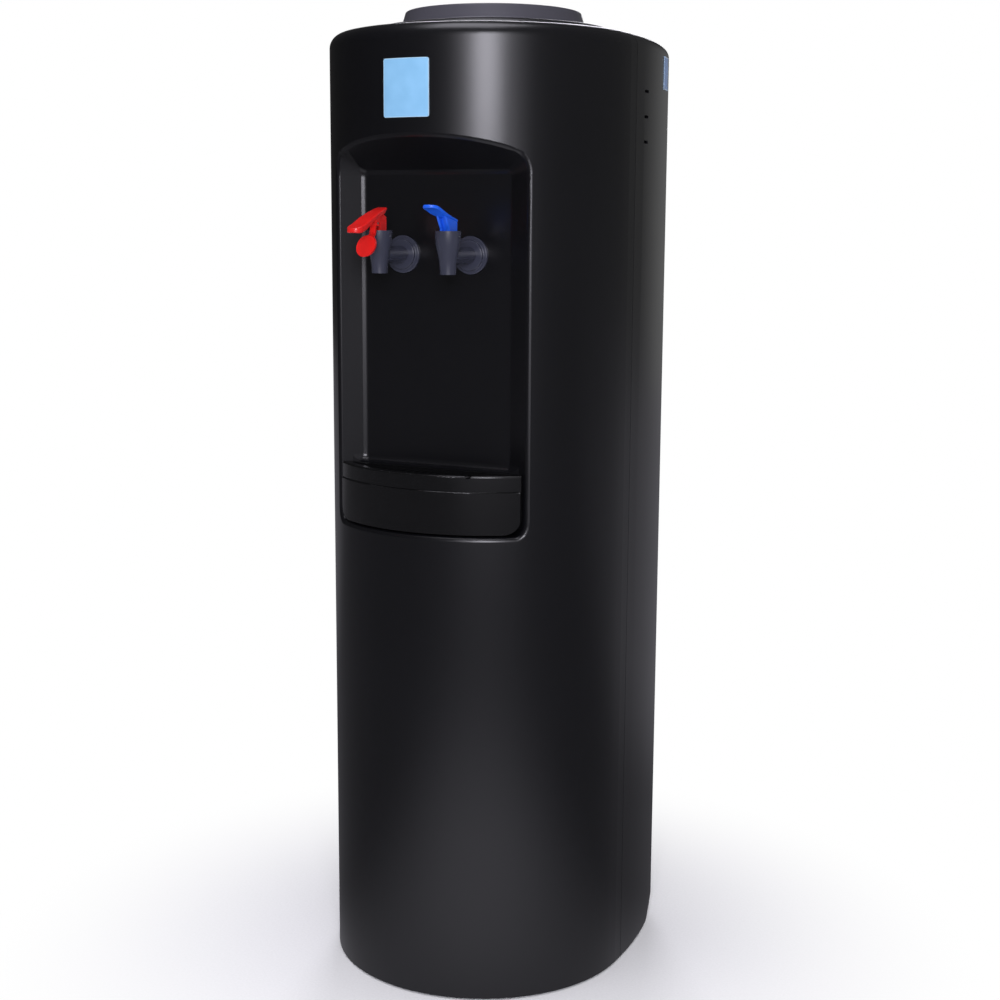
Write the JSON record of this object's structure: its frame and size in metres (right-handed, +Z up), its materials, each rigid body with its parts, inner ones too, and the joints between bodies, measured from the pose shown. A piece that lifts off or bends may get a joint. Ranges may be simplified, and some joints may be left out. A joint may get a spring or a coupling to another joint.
{
  "type": "top-load bottled water cooler",
  "caption": "Free-standing half-round water cooler in black for a bottle on top, with an arched alcove, hot and cold lever taps, a drip tray and a wire condenser behind.",
  "frame": {"origin": "on the floor, under the centre of the half-round front (the middle of the casing's width)", "axes": "+Z up, the half-round front with the taps faces -Y, the hot (red) tap is at -X"},
  "size_m": [0.3174, 0.3695, 0.9904],
  "materials": {
    "black_casing": "near-black moulded plastic, satin with a fine grain",
    "black_trim": "black moulded plastic, satin",
    "collar_grey": "dark grey moulded plastic, satin",
    "guard_white": "natural white food-grade plastic",
    "tap_grey": "dark slate moulded plastic",
    "lever_red": "red moulded plastic",
    "lever_blue": "blue moulded plastic",
    "cup_silicone": "translucent white silicone",
    "stainless": "stainless steel, drawn",
    "spring_steel": "stainless spring wire",
    "zinc_sheet": "galvanised sheet with spangle",
    "foam": "white expanded foam",
    "lid_white": "white moulded plastic",
    "black_rubber": "black rubber",
    "silicone_hose": "white silicone hose",
    "copper": "drawn copper, slightly dulled",
    "heater_band": "heat-tinted steel band",
    "cutout_body": "black phenolic body",
    "white_fitting": "white moulded plastic",
    "compressor_paint": "black semi-gloss stoving enamel",
    "relay_black": "black moulded plastic",
    "condenser_black": "black dip-coated steel",
    "bolt_zinc": "bright zinc plating",
    "badge_blue": "pale blue domed badge, bare",
    "label_blue": "blue sticker, bare",
    "rocker_red": "red rocker",
    "rocker_green": "green rocker",
    "knob_black": "black moulded plastic"
  },
  "bodies": {
    "cabinet": {"front_shell": "black_casing", "rear_shell": "black_casing", "switch_plate": "black_trim", "cold_tap_body": "tap_grey", "hot_tap_body": "tap_grey", "tap_nuts": "tap_grey", "cold_outlet_sleeve": "cup_silicone", "cold_tank": "stainless", "hot_tank": "stainless", "lever_pins": "stainless", "cold_tap_spring": "spring_steel", "hot_tap_spring": "spring_steel", "rear_panel": "zinc_sheet", "hot_tank_shelf": "zinc_sheet", "cold_tank_shelf": "zinc_sheet", "base_pan": "zinc_sheet", "cold_insulation": "foam", "hot_insulation": "foam", "cold_tank_lid": "lid_white", "separator_baffle": "lid_white", "feed_pipe": "lid_white", "feet": "black_rubber", "neck_gasket": "black_rubber", "tap_washers": "black_rubber", "compressor_grommets": "black_rubber", "hot_outlet_hose": "silicone_hose", "drain_hose": "silicone_hose", "evaporator_coil": "copper", "suction_line": "copper", "discharge_line": "copper", "capillary_tube": "copper", "filter_drier": "copper", "band_heater": "heater_band", "thermal_cutouts": "cutout_body", "drain_fitting": "white_fitting", "thermostat": "white_fitting", "compressor": "compressor_paint", "relay_cover": "relay_black", "cord_gland": "relay_black", "condenser_tube": "condenser_black", "condenser_wires": "condenser_black", "condenser_brackets": "condenser_black", "compressor_bolts": "bolt_zinc", "panel_screws": "bolt_zinc", "front_badge": "badge_blue", "side_label": "label_blue"},
    "cold_lever": {"cold_lever": "lever_blue"},
    "cold_plunger": {"cold_plunger": "cup_silicone"},
    "hot_lever": {"hot_lever": "lever_red", "tongue_pin": "stainless"},
    "hot_plunger": {"hot_plunger": "cup_silicone"},
    "safety_tongue": {"safety_tongue": "lever_red"},
    "drip_tray": {"drip_tray": "black_trim"},
    "drip_grille": {"drip_grille": "black_trim"},
    "bottle_collar": {"bottle_collar": "collar_grey"},
    "spill_guard": {"spill_guard": "guard_white"},
    "hot_switch": {"hot_switch": "rocker_red"},
    "cold_switch": {"cold_switch": "rocker_green"},
    "thermostat_knob": {"thermostat_knob": "knob_black"},
    "drain_cap": {"drain_cap": "white_fitting"}
  },
  "joints": [
    {"name": "cold_lever_hinge", "type": "hinge", "parent": "cabinet", "child": "cold_lever", "pos_m": [0.03775, -0.1503, 0.7683], "axis": [1, 0, 0], "range_deg": [0, 16], "stiffness_Nm_per_rad": 0.25, "springref_deg": -8.59},
    {"name": "cold_plunger_lift", "type": "slide", "parent": "cabinet", "child": "cold_plunger", "axis": [0, 0, 1], "range_m": [0, 0.0028], "deforming": ["cold_tap_spring"]},
    {"name": "hot_lever_hinge", "type": "hinge", "parent": "cabinet", "child": "hot_lever", "pos_m": [-0.03775, -0.1503, 0.7683], "axis": [1, 0, 0], "range_deg": [0, 16], "stiffness_Nm_per_rad": 0.25, "springref_deg": -8.59},
    {"name": "hot_plunger_lift", "type": "slide", "parent": "cabinet", "child": "hot_plunger", "axis": [0, 0, 1], "range_m": [0, 0.0028], "deforming": ["hot_tap_spring"]},
    {"name": "safety_tongue_hinge", "type": "hinge", "parent": "hot_lever", "child": "safety_tongue", "pos_m": [-0.03775, -0.1648, 0.7799], "axis": [1, 0, 0], "range_deg": [0, 10], "stiffness_Nm_per_rad": 0.02, "springref_deg": -8.59},
    {"name": "drip_tray_slide", "type": "slide", "parent": "cabinet", "child": "drip_tray", "axis": [0, -1, 0], "range_m": [0, 0.06]},
    {"name": "drip_grille_lift", "type": "slide", "parent": "drip_tray", "child": "drip_grille", "axis": [0, 0, 1], "range_m": [0, 0.02]},
    {"name": "bottle_collar_lift", "type": "slide", "parent": "cabinet", "child": "bottle_collar", "axis": [0, 0, 1], "range_m": [0, 0.09]},
    {"name": "spill_guard_lift", "type": "slide", "parent": "bottle_collar", "child": "spill_guard", "axis": [0, 0, 1], "range_m": [0, 0.115]},
    {"name": "hot_switch_rocker", "type": "hinge", "parent": "cabinet", "child": "hot_switch", "pos_m": [-0.075, 0.16, 0.915], "axis": [1, 0, 0], "range_deg": [0, 18]},
    {"name": "cold_switch_rocker", "type": "hinge", "parent": "cabinet", "child": "cold_switch", "pos_m": [-0.041, 0.16, 0.915], "axis": [1, 0, 0], "range_deg": [0, 18]},
    {"name": "thermostat_turn", "type": "hinge", "parent": "cabinet", "child": "thermostat_knob", "pos_m": [0.092, 0.142, 0.258], "axis": [0, 1, 0], "range_deg": [0, 270]},
    {"name": "drain_cap_pull", "type": "slide", "parent": "cabinet", "child": "drain_cap", "axis": [0, 1, 0], "range_m": [0, 0.02]}
  ],
  "couplings": [
    {"joint": "cold_plunger_lift", "follows": "cold_lever_hinge", "m_per_rad": 0.01002},
    {"joint": "hot_plunger_lift", "follows": "hot_lever_hinge", "m_per_rad": 0.01002}
  ]
}
